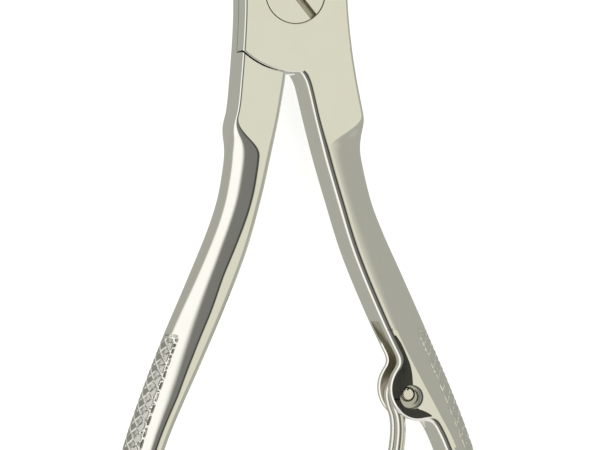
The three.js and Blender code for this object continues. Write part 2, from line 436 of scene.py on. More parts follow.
class ShapeTree:
    """A geometry node tree that works on one object's mesh."""

    def __init__(self, name: str, sizes: dict[str, float]) -> None:
        """Open the tree.

        Args:
            name: The tree's name.
            sizes: Named inputs and their values.
        """
        self.group = bpy.data.node_groups.new(name, "GeometryNodeTree")
        self.tree = Tree(self.group)
        self.sizes = sizes
        self.keys: dict[str, str] = {}
        self.group.interface.new_socket("Geometry", in_out="INPUT", socket_type="NodeSocketGeometry")
        self.group.interface.new_socket("Geometry", in_out="OUTPUT", socket_type="NodeSocketGeometry")
        for label in sizes:
            made = self.group.interface.new_socket(label, in_out="INPUT", socket_type="NodeSocketFloat")
            self.keys[label] = made.identifier
        self.start = self.tree.node("NodeGroupInput")

    def size(self, label: str) -> Value:
        """Give a named input."""
        return self.tree.value(self.start, label)

    def mark(self, name: str) -> Value:
        """Read a number stored on the mesh's points."""
        return self.tree.value(self.tree.node("GeometryNodeInputNamedAttribute", inputs={"Name": name}))

    def raise_by(self, height: Value) -> bpy.types.NodeSocket:
        """Move the mesh's points along their normals.

        Args:
            height: How far each point moves, in metres.

        Returns:
            The moved geometry.
        """
        normal = self.tree.node("GeometryNodeInputNormal")
        scale = {"Vector": normal.outputs[0], "Scale": height}
        offset = self.tree.node("ShaderNodeVectorMath", {"operation": "SCALE"}, scale)
        inputs = {"Geometry": self.start.outputs["Geometry"], "Offset": offset.outputs["Vector"]}
        return self.tree.node("GeometryNodeSetPosition", inputs=inputs).outputs["Geometry"]

    def close(
        self, shape: bpy.types.NodeSocket, finish: bpy.types.Material,
        where: Value | None = None, second: bpy.types.Material | None = None,
    ) -> None:
        """End the tree in Realize Instances and Set Material.

        Args:
            shape: The finished geometry.
            finish: Its material.
            where: Above zero where the second material goes.
            second: The second material.
        """
        real = self.tree.node("GeometryNodeRealizeInstances", inputs={"Geometry": shape})
        inputs = {"Geometry": real.outputs["Geometry"], "Material": finish}
        dressed = self.tree.node("GeometryNodeSetMaterial", inputs=inputs)
        if where is not None:
            chosen = where.math("GREATER_THAN", 0.0)
            inputs = {"Geometry": dressed.outputs["Geometry"], "Selection": chosen, "Material": second}
            dressed = self.tree.node("GeometryNodeSetMaterial", inputs=inputs)
        self.tree.node("NodeGroupOutput", inputs={"Geometry": dressed.outputs["Geometry"]})

    def shape(self, piece: bpy.types.Object) -> bpy.types.Object:
        """Run the tree on an object and keep the result as its plain mesh."""
        step = piece.modifiers.new(self.group.name, "NODES")
        step.node_group = self.group
        for label, given in self.sizes.items():
            step[self.keys[label]] = given
        settle(piece)
        return piece


@dataclass(frozen=True)
class Knurl:
    """The raised diamond grip on the outside of a handle, in millimetres."""

    top: float = -67.6
    bottom: float = -122.0
    pitch: float = 2.45
    rib_width: float = 0.52
    rib_height: float = 0.17
    border: float = 0.7
    half_width: float = 4.6
    widening: float = 0.03

    def raise_ribs(
        self, piece: bpy.types.Object, finish: bpy.types.Material, grip: bpy.types.Material
    ) -> bpy.types.Object:
        """Raise the ribs on a handle that carries the marks "along" and "around".

        Args:
            piece: The handle.
            finish: Its material.
            grip: The material of the sunk ground between the ribs, a darker copy of the plating that paints
                shade in the grooves.

        Returns:
            The handle with its ribs.
        """
        tree = ShapeTree("raised_diamond_grip", {
            "Pitch": self.pitch, "Rib Width": self.rib_width, "Rib Height": self.rib_height * MM,
            "Length": self.top - self.bottom, "Half Width": self.half_width, "Widening": self.widening,
        })
        along, around = tree.mark("along"), tree.mark("around")
        width = tree.size("Rib Width")
        half = tree.size("Half Width") + along * tree.size("Widening")
        side = half - abs(around)
        corner = along.math("MINIMUM", tree.size("Length") - along)
        edge = side.math("SMOOTH_MIN", corner, 2.0)
        inside = smooth_step(edge, 0.0, 0.4)
        lines = [grid_lines(along + around, self.pitch), grid_lines(along - around, self.pitch)]
        nearest = lines[0].math("MINIMUM", lines[1])
        nearest = nearest.math("MINIMUM", abs(edge - self.border) * 0.7)
        rib = smooth_step(nearest / width, 0.5, 0.08)
        height = (rib - 1.0) * inside * tree.size("Rib Height")
        # The sunk ground between the ribs gets the second material, a darker copy of the plating that paints
        # shade in the grooves.
        tree.close(tree.raise_by(height), finish, edge.math("MINIMUM", 0.5 - rib), grip)
        return tree.shape(piece)


@dataclass(frozen=True)
class JawTeeth:
    """The crosswise serrations on the jaws' biting faces, in millimetres."""

    pitch: float = 0.9
    depth: float = 0.3

    def cut(self, piece: bpy.types.Object, finish: bpy.types.Material) -> bpy.types.Object:
        """Cut the teeth on a jaw that carries the marks "run" and "bite".

        Args:
            piece: The jaw.
            finish: Its material.

        Returns:
            The jaw with its teeth.
        """
        tree = ShapeTree("jaw_serrations", {"Pitch": self.pitch, "Depth": self.depth * MM})
        wave = tree.mark("run").math("PINGPONG", tree.size("Pitch") / 2.0) / (tree.size("Pitch") / 2.0)
        height = -(wave * tree.mark("bite") * tree.size("Depth"))
        tree.close(tree.raise_by(height), finish)
        return tree.shape(piece)


# ---- finishes ----
STAIN_TINT = (0.8, 0.74, 0.62)


@dataclass(frozen=True)
class Plate:
    """A polished metal finish: plating over fine polishing lines and hand-worked waves."""

    name: str
    colour: Colour
    roughness: float
    line_depth: float
    wave_depth: float
    tarnish: float = 0.0

    def build(self) -> bpy.types.Material:
        """Make the material.

        Returns:
            The material.
        """
        made = bpy.data.materials.new(self.name)
        made.use_nodes = True
        tree = Tree(made.node_tree)
        place = tree.node("ShaderNodeTexCoord").outputs["Object"]
        waves = self._noise(tree, place, (90, 45, 90), 2.0, 1.0)
        lines = self._noise(tree, place, (5200, 260, 5200), 3.0, 1.0)
        scuffs = self._noise(tree, place, (1500, 9000, 1500), 2.0, 3.0)
        cloud = self._noise(tree, place, (160, 120, 160), 5.0, 2.0)
        scratch = smooth_step(scuffs, 0.66, 0.76)
        rough = (lines - 0.5) * 0.10 + (cloud - 0.5) * 0.05 + scratch * 0.12 + self.roughness
        stain = smooth_step(cloud, 0.45, 0.75) * (0.06 + self.tarnish)
        stained = [c * w for c, w in zip(self.colour, STAIN_TINT)]
        tint = tree.blend(stain, (*self.colour, 1.0), (*stained, 1.0))
        height = waves * self.wave_depth + lines * self.line_depth - scratch * (self.line_depth * 0.6)
        bump = tree.node("ShaderNodeBump", inputs={"Strength": 1.0, "Distance": 1.0, "Height": height})
        shader = tree.node("ShaderNodeBsdfPrincipled", inputs={
            "Base Color": tint,
            "Metallic": 1.0,
            "Roughness": rough,
            "Normal": bump.outputs["Normal"],
        })
        tree.node("ShaderNodeOutputMaterial", inputs={"Surface": shader.outputs["BSDF"]})
        return made

    @staticmethod
    def _noise(tree: Tree, place: bpy.types.NodeSocket, scale: Point, detail: float, seed: float) -> Value:
        """Give a noise between 0 and 1, stretched along the tool's length.

        Args:
            tree: The material's tree.
            place: The coordinates.
            scale: Grains to the metre along each axis.
            detail: Octaves.
            seed: Shifts the pattern.

        Returns:
            The noise.
        """
        placing = {"Vector": place, "Scale": scale, "Location": (seed,) * 3}
        shift = tree.node("ShaderNodeMapping", inputs=placing)
        inputs = {"Vector": shift.outputs["Vector"], "Scale": 1.0, "Detail": detail}
        return tree.value(tree.node("ShaderNodeTexNoise", inputs=inputs), "Fac")


NICKEL = Plate("polished_nickel_plate", (0.90, 0.885, 0.84), 0.085, 0.0000006, 0.00006)
SCREW_NICKEL = Plate("ground_screw_plate", (0.90, 0.885, 0.84), 0.10, 0.0000008, 0.00002)
MILLED = Plate("milled_slot_steel", (0.62, 0.58, 0.48), 0.34, 0.000004, 0.00002, 0.4)
# Ground finish whose near-black colour paints shade on the hollowed facet and in the pin hole; the stronger
# bump is the ground texture.
PAINTED_SHADE_RECESS = Plate("dark_ground_recess", (0.07, 0.07, 0.065), 0.12, 0.000012, 0.0003)
# Darker copy of the plating: painted shade in the rear grip's sunk ground and on the counterbore walls.
DARK_PAINTED_SHADE = Plate("worn_grip_plate", (0.56, 0.555, 0.52), 0.18, 0.000003, 0.00008)
# Lighter copy of the plating: weaker painted shade in the front grip's sunk ground.
LIGHT_PAINTED_SHADE = Plate("light_grip_plate", (0.82, 0.81, 0.77), 0.14, 0.000002, 0.00008)
PIN_STEEL = Plate("cut_pin_steel", (0.88, 0.85, 0.78), 0.16, 0.000002, 0.00001, 0.1)
SPRING_WIRE = Plate("drawn_spring_wire", (0.86, 0.84, 0.78), 0.14, 0.0000008, 0.00002)


# ---- the forgings ----
class Side(Enum):
    """Which handle a forging carries, seen from the front."""

    RIGHT = 1
    LEFT = -1


@dataclass(frozen=True)
class Rounding:
    """One corner of a limb's section, in millimetres: a tight crease, then a wide turn.

    The reaches say how long the turn keeps to its first and last direction, as shares of its size.
    """

    width: float
    depth: float
    reach_in: float = 0.55
    reach_out: float = 0.55
    crease: float = 2.6
    crease_angle: float = 13.0

    def curve(self, steps: int) -> Rows:
        """Give the corner from its flat top to its upright side.

        Args:
            steps: How many steps the wide turn takes.

        Returns:
            Pairs of the distance out from the flat's edge and down from the flat.
        """
        radius = self.crease * min(1.0, self.width / 3, self.depth / 2)
        start = math.radians(self.crease_angle)
        bend = [start * i / 4 for i in range(4)]
        points = [(radius * math.sin(a), radius * (1 - math.cos(a))) for a in bend]
        left, down = radius * math.sin(start), radius * (1 - math.cos(start))
        first, last = self.reach_in * (self.width - left), self.reach_out * (self.depth - down)
        ways = [(left, down), (left + first * math.cos(start), down + first * math.sin(start)),
                (self.width, self.depth - last), (self.width, self.depth)]
        for i in range(steps + 1):
            t = i / steps
            shares = ((1 - t) ** 3, 3 * t * (1 - t) ** 2, 3 * t * t * (1 - t), t ** 3)
            points.append(tuple(sum(share * way[k] for share, way in zip(shares, ways)) for k in range(2)))
        return points


def section(
    y: float, inner: float, outer: float, rounding: Rounding, fillet: tuple[float, float], fine: int
) -> Ring:
    """Make one section of a limb that stands on +X, in millimetres.

    Args:
        y: The section's place along the tool.
        inner: The inner side's distance from the centre line.
        outer: The outer side's distance from the centre line.
        rounding: The outer corners.
        fillet: The inner corners' width and depth.
        fine: Steps over each wide corner.

    Returns:
        The ring, anticlockwise.
    """
    flat = outer - rounding.width
    top = [(flat + out, THICKNESS - down) for out, down in rounding.curve(fine)]
    bottom = [(x, THICKNESS - z) for x, z in top]
    low, high = rounding.depth, THICKNESS - rounding.depth
    side = [(outer, mix(low, high, i / 8)) for i in range(1, 8)]
    turns = [math.pi / 2 * i / 8 for i in range(9)]
    across, down = fillet
    inside = [(inner + across * (1 - math.sin(a)), THICKNESS - down * (1 - math.cos(a))) for a in turns]
    under = [(x, THICKNESS - z) for x, z in reversed(inside)]
    outline = [*bottom, *side, *reversed(top), *inside, *under]
    return [(x, y, z) for x, z in outline]


@dataclass
class Forging:
    """One half of the pliers, built with its handle on +X and its joint plate on top.

    Sizes are in millimetres, outlines are pairs of y and the distance from the centre line.
    """

    name: str
    side: Side
    handle_outer: Rows
    handle_inner: Rows
    plate_outer: Rows
    jaw_hollow: float
    wide_width: float = 6.1
    crease: float = 2.6
    jaw_outer: Rows = field(default_factory=lambda: [
        (0, 10.6), (8, 10.5), (16, 10), (28, 9.3), (40, 8.9), (48, 8.6), (JAW_TIP, 8.3)])
    plate_radius: float = 15.8
    shoulder_radius: float = 16.1
    layer_gap: float = 0.15
    lower_width: float = 0.65
    plate_edge: Rounding = Rounding(0.6, 0.6)
    wide_depth: float = 5.2
    shoulder_top: float = -24.5
    shoulder_bottom: float = -32.5
    flatter_from: float = -45.0
    flatter_over: float = 35.0
    wider_from: float = -55.0
    wider_over: float = 10.0
    inner_fillet: float = 1.45
    joint_fillet: float = 1.2
    fillet_share: float = 0.6
    end_rounding: float = 5.0
    jaw_slope: float = math.tan(math.radians(4))
    jaw_clearance: float = 0.1
    hollow_span: tuple[float, float] = (20, 47)

    def build(self, finish: bpy.types.Material, groove_shade: bpy.types.Material) -> bpy.types.Object:
        """Make the forging without its holes, in its own pose.

        Args:
            finish: The plating.
            groove_shade: The darker copy of the plating that paints shade in the grip's sunk ground.

        Returns:
            The forging, with its handle on +X.
        """
        limbs = combine(self._handle(finish, groove_shade), "UNION", [self._jaw(finish)])
        seat = [(self.shoulder_radius, -1), (self.shoulder_radius, MIDDLE + self.layer_gap)]
        combine(limbs, "DIFFERENCE", [lathe("other_plate", seat)])
        return combine(limbs, "UNION", [self._plate()])

    def turn_over(self, piece: bpy.types.Object) -> None:
        """Turn the left forging over about the tool's length."""
        if self.side is Side.LEFT:
            turn = Matrix.Translation((0, 0, THICKNESS * MM)) @ Matrix.Rotation(math.pi, 4, "Y")
            piece.data.transform(turn)

    def _handle(self, finish: bpy.types.Material, groove_shade: bpy.types.Material) -> bpy.types.Object:
        """Make the handle, with its knurled grip, up to the pivot.

        Args:
            finish: The plating.
            groove_shade: The darker copy of the plating that paints shade in the grip's sunk ground.

        Returns:
            The handle.
        """
        inner, outer = profile(self.handle_inner), profile(self.handle_outer)
        grip = Knurl()
        start = HANDLE_END + self.end_rounding
        end = [HANDLE_END + self.end_rounding * (1 - math.cos(math.pi / 2 * i / 14)) for i in range(1, 14)]
        above = grip.top + 0.4
        rows = end + heights((start, grip.bottom, 0.8), (grip.bottom, above, 0.14), (above, 0, 0.6))
        rings, along, around = [], [], []
        for y in rows:
            grow = smooth((self.shoulder_top - y) / (self.shoulder_top - self.shoulder_bottom))
            room = outer(y) - inner(y)
            lean = inner(y + 0.5) - inner(y - 0.5)
            fillet = mix(self.joint_fillet, self.inner_fillet, grow)
            slanted = fillet * math.hypot(1.0, lean)
            lower = smooth((self.flatter_from - y) / self.flatter_over)
            wider = smooth((self.wider_from - y) / self.wider_over)
            wide = self.wide_width + self.lower_width * wider
            width = min(mix(self.plate_edge.width, wide, grow), room - slanted - 0.05)
            depth = mix(self.plate_edge.depth, self.wide_depth, grow)
            corner = Rounding(width, depth, mix(0.55, 0.2, lower), mix(0.55, 0.4, lower), self.crease)
            ring = section(y, inner(y), outer(y), corner, (slanted, fillet * self.fillet_share), 54)
            away = max((start - y) / self.end_rounding, 0.0)
            shrink = math.sqrt(max(1 - away * away, 0.0))
            centre = (inner(y) + outer(y)) / 2
            ring = [(mix(centre, x, shrink), y, mix(MIDDLE, z, shrink)) for x, y, z in ring]
            rings.append(ring)
            along.append([self._distance_down(outer, grip.top, y)] * len(ring))
            around.append(self._distance_round(ring))
        handle = loft(self.name, rings, {"along": along, "around": around})
        return grip.raise_ribs(handle, finish, groove_shade)

    @staticmethod
    def _distance_down(outer: Callable[[float], float], top: float, y: float) -> float:
        """Give the distance along the outer side from the grip's top down to y."""
        return math.hypot(top - y, outer(top) - outer(y)) * math.copysign(1.0, top - y)

    @staticmethod
    def _distance_round(ring: Ring) -> list[float]:
        """Give each point's distance round the section from the middle of the outer side.

        Args:
            ring: The section.

        Returns:
            One distance for each point.
        """
        middle = min(range(len(ring)), key=lambda i: (abs(ring[i][2] - MIDDLE) - ring[i][0]))
        steps = [math.dist(ring[i], ring[i - 1]) for i in range(len(ring))]
        turn = [0.0] * len(ring)
        for i in range(middle + 1, len(ring)):
            turn[i] = turn[i - 1] + steps[i]
        for i in range(middle - 1, -1, -1):
            turn[i] = turn[i + 1] - steps[i + 1]
        return turn

    def _jaw(self, finish: bpy.types.Material) -> bpy.types.Object:
        """Make the jaw on -X, with its serrations.

        Args:
            finish: The plating.

        Returns:
            The jaw.
        """
        outer = profile(self.jaw_outer)
        low, high = self.hollow_span

        def inner(y: float) -> float:
            """Give the biting face's distance from the centre line."""
            t = min(max((y - low) / (high - low), 0.0), 1.0)
            return self.jaw_clearance + self.jaw_slope * y + self.jaw_hollow * math.sin(math.pi * t)

        rings, run, bite = [], [], []
        for y in heights((0, 18, 1.0), (18, JAW_TIP - 0.6, 0.1125), (JAW_TIP - 0.6, JAW_TIP, 0.1)):
            tip = smooth((y - JAW_TIP + 0.6) / 0.6) * 0.4
            ring = section(y, inner(y) + tip, outer(y) - tip, Rounding(1.0, 1.0), (0.5, 0.5), 10)
            rings.append([(-x, y, z) for x, y, z in reversed(ring)])
            run.append([y] * len(ring))
            cut = smooth((y - 19) / 0.5) * smooth((JAW_TIP - 0.8 - y) / 0.3)
            face = [smooth((inner(y) + 0.6 - x) / 0.5) for x, _, _ in reversed(ring)]
            bite.append([cut * f for f in face])
        jaw = loft(self.name + "_jaw", rings, {"run": run, "bite": bite})
        return JawTeeth().cut(jaw, finish)

    def _plate(self) -> bpy.types.Object:
        """Make the joint plate: a disc with rounded edges, trimmed by the tool's outlines.

        Returns:
            The plate.
        """
        radius, bottom, edge = self.plate_radius, MIDDLE + self.layer_gap, 0.35
        turns = [math.pi / 2 * i / 6 for i in range(7)]
        rim = [(radius - edge * (1 - math.cos(a)), THICKNESS - edge * (1 - math.sin(a))) for a in turns]
        disc = lathe("joint_plate", [(radius - 0.1, bottom), (radius, bottom + 0.1), *rim], sides=256)
        own, other, above = profile(self.handle_outer), profile(self.plate_outer), profile(self.jaw_outer)
        rings = []
        for y in heights((-radius - 1, radius + 1, 0.6)):
            right, left = (own(y), other(y)) if y < 0 else (above(y), above(y))
            half = section(y, 0, right, self.plate_edge, (0.1, 0.1), 12)
            count = len(self.plate_edge.curve(12)) * 2 + 7
            mirrored = section(y, 0, left, self.plate_edge, (0.1, 0.1), 12)[:count]
            rings.append(half[:count] + [(-x, y, z) for x, _, z in reversed(mirrored)])
        return combine(loft("joint_plate_sides", rings), "INTERSECT", [disc])


@dataclass
class SpringLug:
    """The lug on the right handle's inner side, with its slot, facet, counterbore and pin hole.

    Sizes are in millimetres in the tool's frame.
    """

    handle_inner: Rows
    centre: tuple[float, float] = (24.6, -79.9)
    radius: float = 6.6
    fillet: float = 1.45
    fillet_share: float = 0.6
    lip: float = 0.25
    ends: tuple[float, float] = (-92.0, -68.0)
    root: float = 2.3
    pin_hole: float = 1.55
    counterbore: tuple[float, float] = (22.5, -81.55)
    counterbore_radius: float = 2.4
    counterbore_floor: float = 9.35
    slot_width: float = 6.6
    slot_start: float = -66.2
    slot_floor: float = 25.9
    facet_tilt: float = 3.5
    facet_edge: Rows = field(default_factory=lambda: [
        (-69, 19.4), (-70.5, 20.4), (-73.2, 21.6), (-75.1, 22.3), (-77, 22.65), (-80, 22.8), (-82.6, 23.0),
        (-83.8, 23.6), (-84.6, 25.4), (-85.7, 27.0), (-87.9, 28.7), (-90, 29.6)])

    def edge(self) -> list[tuple[float, float]]:
        """Trace the inner edge from the lower end up round the lug to the upper end.

        Returns:
            Pairs of x and y.
        """
        line = profile(self.handle_inner)
        low, high = self.ends
        points = [(line(y), y) for y in heights((low, -87.6, 0.4))]
        points += [(27.0, -87.05), (26.55, -86.75), (25.9, -86.55)]
        turns = [math.radians(a) for a in range(278, 141, -4)]
        (cx, cy), r = self.centre, self.radius
        points += [(cx + r * math.cos(a), cy + r * math.sin(a)) for a in turns]
        points += [(19.75, -75.35), (20.05, -74.75), (20.0, -74.05)]
        points += [(line(y), y) for y in heights((-73.5, high, 0.4))]
        return points

    def block(self) -> bpy.types.Object:
        """Make the stretch of the inner edge that carries the lug.

        Returns:
            The block.
        """
        edge = smooth_path(self.edge(), 220, self.ends)
        far = max(x for x, _ in edge[:1] + edge[-1:])
        low, high = self.ends
        line = profile(self.handle_inner)
        root = [(line(y) + self.root, y) for y in heights((low, high, 0.8))][::-1]
        turns = [math.pi / 2 * i / 10 for i in range(11)]
        down = self.fillet * self.fillet_share
        levels = [(self.fillet * (1 - math.sin(a)), down * (1 - math.cos(a))) for a in turns]
        ear = MIDDLE - self.slot_width / 2
        back = [(inward, down) for inward, down in levels] + [(0.0, ear - self.lip), (self.lip, ear)]
        rings = []
        for inward, z in [*back, *((inward, THICKNESS - down) for inward, down in reversed(back))]:
            in_slot = self.fillet < z < THICKNESS - self.fillet
            shares = [self._mouth(y) if in_slot else 1.0 for _, y in edge]
            moved = offset_path(edge, [inward * share for share in shares])
            rings.append([(x, y, z) for x, y in moved] + [(x, y, z) for x, y in root])
        return loft("lug_block", rings)

    def _mouth(self, y: float) -> float:
        """Give 1 beside the slot's open mouth and 0 beyond its ends."""
        return smooth((self.slot_start - 3 - y) / 2) * smooth((y + 89.5) / 1.5)

    def seat(self) -> bpy.types.Object:
        """Make the tool that clears the plain inner edge where the block goes."""
        low, high = self.ends
        line = profile(self.handle_inner)
        inside = [(line(y) + self.root - 0.5, y) for y in heights((low, high, 0.8))]
        return slab("lug_seat", [(10.0, high), (10.0, low), *inside], -1, THICKNESS + 1)

    def facet(self) -> bpy.types.Object:
        """Make the tool that slopes the lug's front face.

        Returns:
            The tool.
        """
        edge = profile(self.facet_edge)
        low, high = self.facet_edge[-1][0], self.facet_edge[0][0]
        reach = 8.0
        drop = reach * math.tan(math.radians(self.facet_tilt))
        rings = []
        for y in heights((low, high, 0.3)):
            x = edge(y)
            rings.append([(x - reach, y, THICKNESS - drop), (x, y, THICKNESS), (x, y, THICKNESS + 2),
                          (x - reach, y, THICKNESS + 2)])
        return loft("lug_facet", rings)

    def slot(self) -> bpy.types.Object:
        """Make the tool that mills the spring's slot.

        Returns:
            The tool.
        """
        surface = profile(self.handle_inner)(self.slot_start)
        deep, foot = (self.slot_floor, -78.5), (self.slot_floor, -84.5)
        bend = ((surface + self.slot_floor) / 2, (self.slot_start + deep[1]) / 2 - 1)
        curve = []
        for i in range(25):
            t = i / 24
            curve.append(tuple((1 - t) ** 2 * a + 2 * t * (1 - t) * b + t * t * c
                               for a, b, c in zip((surface, self.slot_start), bend, deep)))
        toe = [(self.slot_floor - 0.4, -87), (self.slot_floor - 1.3, -90)]
        outline = [(8, self.slot_start), *curve, foot, *toe, (8, -90)]
        half = self.slot_width / 2
        return slab("spring_slot", outline[::-1], MIDDLE - half, MIDDLE + half)

    def bores(self, pin: tuple[float, float]) -> list[bpy.types.Object]:
        """Make the tools for the pin hole and the counterbore.

        Args:
            pin: The pin's x and y.

        Returns:
            The two tools, the pin hole first.
        """
        r, floor = self.counterbore_radius, self.counterbore_floor
        hole = [(self.pin_hole, -1), (self.pin_hole, THICKNESS + 1)]
        bore = [(self.pin_hole - 0.1, floor - 0.05), (self.pin_hole, floor), (r - 0.15, floor),
                (r, floor + 0.15), (r, THICKNESS - 0.1), (r + 1.1, THICKNESS + 1)]
        return [lathe("pin_hole", hole, pin, 64), lathe("counterbore", bore, self.counterbore, 96)]


def smooth_path(points: Rows, count: int, ends: tuple[float, float]) -> Rows:
    """Relax a traced edge and give it even steps.

    Args:
        points: The traced edge.
        count: How many points the result has.
        ends: The y of the first and of the last point, which stay.

    Returns:
        The even, relaxed edge.
    """
    def even(path: Rows) -> Rows:
        """Place the points at equal steps along a path."""
        lengths = [0.0]
        for a, b in zip(path, path[1:]):
            lengths.append(lengths[-1] + math.dist(a, b))
        found, k = [], 0
        for i in range(count):
            want = lengths[-1] * i / (count - 1)
            while k < len(path) - 2 and lengths[k + 1] < want:
                k += 1
            t = (want - lengths[k]) / (lengths[k + 1] - lengths[k])
            found.append((mix(path[k][0], path[k + 1][0], t), mix(path[k][1], path[k + 1][1], t)))
        return found

    path = even(points)
    for _ in range(30):
        threes = zip(path, path[1:], path[2:])
        inner = [tuple((a[k] + 2 * b[k] + c[k]) / 4 for k in range(2)) for a, b, c in threes]
        path = [path[0], *inner, path[-1]]
    path = even(path)
    return [(path[0][0], ends[0]), *path[1:-1], (path[-1][0], ends[1])]


def offset_path(path: Rows, distances: list[float]) -> Rows:
    """Move an edge's points towards +X along its normals, its two ends along X alone.

    Args:
        path: The edge's points.
        distances: How far each point moves.

    Returns:
        The moved points.
    """
    moved = []
    last = len(path) - 1
    for i, ((x, y), distance) in enumerate(zip(path, distances)):
        (ax, ay), (bx, by) = path[max(i - 1, 0)], path[min(i + 1, last)]
        length = math.dist((ax, ay), (bx, by))
        nx, ny = (by - ay) / length, (ax - bx) / length
        if i in (0, last):
            moved.append((x + distance / nx, y))
        else:
            moved.append((x + distance * nx, y + distance * ny))
    return moved


# ---- the whole tool ----
@dataclass
class Forgings:
    """Both halves, with the holes and seats that the small pieces need, in millimetres."""

    # Darker and lighter copies of the plating that paint shade in the grips' sunk ground; the darker one also
    # paints shade on the counterbore walls.
    dark_shade_plate: bpy.types.Material
    light_shade_plate: bpy.types.Material
    screw_seat_radius: float = 6.13
    screw_seat_floor: float = 7.75
    shank_hole: float = 4.15
    seat_centre: tuple[float, float] = (29.0, -103.0)
    seat_radius: float = 4.2
    seat_half_height: float = 3.5
    front_outer: Rows = field(default_factory=lambda: [
        (0, 10.8), (-5.4, 11.05), (-11.4, 11.6), (-17.5, 12.45), (-21.5, 13.15), (-25.5, 13.8),
        (-29, 13.75), (-33.5, 14.2), (-41.6, 15.95), (-47.7, 18.15), (-58, 22.7), (-70.2, 28),
        (-82.6, 33.1), (-92.7, 36.7), (-102, 39.4), (-115, 41.5), (-128, 42.1), (HANDLE_END, 41.8)])
    front_inner: Rows = field(default_factory=lambda: [
        (0, 0), (-15.2, 0.3), (-16.2, 1.0), (-17.4, 1.65), (-19, 2.15), (-25.1, 3.5), (-33.3, 5.45),
        (-41.4, 7.7), (-51.6, 10.7), (-61.9, 14.7), (-72.2, 19.3), (-84.6, 25.7), (-91, 28.9),
        (-102, 32.6), (-115, 34.6),
        (-128, 35.2), (HANDLE_END, 35.2)])
    rear_outer: Rows = field(default_factory=lambda: [
        (0, 10.4), (-4.7, 10.55), (-10.8, 11), (-16.8, 11.6), (-22.9, 12.35), (-26.9, 13.4),
        (-31, 13.8), (-35, 14.3), (-41, 15.55), (-47, 17.65), (-57, 22.1), (-68.8, 27.55),
        (-80.7, 32.5), (-90.4, 36), (-102, 39.3), (-115, 41.4), (-128, 42.1), (HANDLE_END, 41.8)])
    rear_inner: Rows = field(default_factory=lambda: [
        (0, 0), (-15.5, 2.1), (-19.3, 2.75), (-25.3, 3.95), (-33.3, 5.8), (-41.2, 7.8), (-51.2, 10.9),
        (-61.1, 15), (-72.9, 20.4), (-84.6, 26), (-90.3, 28.4), (-102, 32.4), (-115, 34.5),
        (-128, 35.2), (HANDLE_END, 35.2)])

    def build_front(
        self, finish: bpy.types.Material, milled: bpy.types.Material, painted_recess_shade: bpy.types.Material
    ) -> bpy.types.Object:
        """Make the right handle, the front plate and the flat jaw.

        Args:
            finish: The plating.
            milled: The finish of the slot and the screw's seat.
            painted_recess_shade: The ground finish of the hollowed face and the pin hole, whose near-black
                colour is painted shade.

        Returns:
            The front half.
        """
        half = Forging(
            "front_forging", Side.RIGHT, self.front_outer, self.front_inner, self.rear_outer,
            jaw_hollow=0.0, wide_width=9.0, crease=1.1)
        # The front grip's sunk ground gets the lighter copy of the plating, which paints weaker shade in its
        # grooves.
        piece = half.build(finish, self.light_shade_plate)
        pin_low, pin_high = node_box("spring_pin")
        lug = SpringLug(self.front_inner)
        combine(piece, "DIFFERENCE", [lug.seat()])
        combine(piece, "UNION", [lug.block()])
        # The hollowed facet gets the near-black finish, which paints shade on it.
        mill(piece, [lug.facet()], painted_recess_shade)
        r, floor = self.screw_seat_radius, self.screw_seat_floor
        seat = [(r, floor), (r, THICKNESS - 0.12), (r + 1.12, THICKNESS + 1)]
        shank = [(self.shank_hole, 0), (self.shank_hole, THICKNESS)]
        middle = (pin_low + pin_high) / 2
        pin_hole, counterbore = lug.bores((middle.x, middle.y))
        # The counterbore walls get the darker copy of the plating, which paints shade round the pin.
        mill(piece, [counterbore], self.dark_shade_plate)
        # The pin hole gets the near-black finish, which paints the shadow in the gap round the pin.
        mill(piece, [pin_hole], painted_recess_shade)
        tools = [lathe("screw_seat", seat), lathe("shank_hole", shank), lug.slot()]
        return mill(piece, tools, milled)

    def build_rear(self, finish: bpy.types.Material, milled: bpy.types.Material) -> bpy.types.Object:
        """Make the left handle, the rear plate and the curved jaw.

        Args:
            finish: The plating.
            milled: The finish of the thread and the spring's seat.

        Returns:
            The rear half.
        """
        half = Forging(
            "rear_forging", Side.LEFT, self.rear_outer, self.rear_inner, self.front_outer, jaw_hollow=2.0)
        # The rear grip's sunk ground gets the darker copy of the plating, which paints shade in its grooves.
        piece = half.build(finish, self.dark_shade_plate)
        thread = [(self.shank_hole, -1), (self.shank_hole, THICKNESS + 1)]
        r, half_height = self.seat_radius, self.seat_half_height
        seat = [(r - 0.3, MIDDLE - half_height), (r, MIDDLE - half_height + 0.3),
                (r, MIDDLE + half_height - 0.3), (r - 0.3, MIDDLE + half_height)]
        mill(piece, [lathe("thread", thread), lathe("spring_seat", seat, self.seat_centre)], milled)
        half.turn_over(piece)
        return piece


@dataclass
class PivotScrew:
    """The slotted screw, flush on both sides, in millimetres."""

    edge: float = 0.12
    head_depth: float = 3.1
    shank_radius: float = 4.0
    slot_width: float = 1.45
    slot_depth: float = 1.5
    slot_angle: float = -52.0

    def build(self, finish: bpy.types.Material, milled: bpy.types.Material) -> bpy.types.Object:
        """Make the screw from the frame's box for it.

        Args:
            finish: The plating.
            milled: The finish of its slot.

        Returns:
            The screw.
        """
        low, high = node_box("pivot_screw")
        r, under = (high.x - low.x) / 2, THICKNESS - self.head_depth
        shank = self.shank_radius
        outline = [(shank - 0.3, 0), (shank, 0.3), (shank, under), (r, under),
                   (r, THICKNESS - self.edge), (r - self.edge, THICKNESS)]
        piece = lathe("slotted_pivot_screw", outline, sides=192)
        piece.data.materials.append(finish)
        half, top = self.slot_width / 2, THICKNESS
        section_points = [(-half, top - self.slot_depth), (half, top - self.slot_depth), (half, top - 0.1),
                          (half + 0.6, top + 0.5), (-half - 0.6, top + 0.5), (-half, top - 0.1)]
        cutter = loft("screw_slot", [[(x, y, z) for x, z in section_points] for y in (-2 * r, 2 * r)])
        cutter.data.transform(Matrix.Rotation(math.radians(self.slot_angle + 90), 4, "Z"))
        return mill(piece, [cutter], milled)


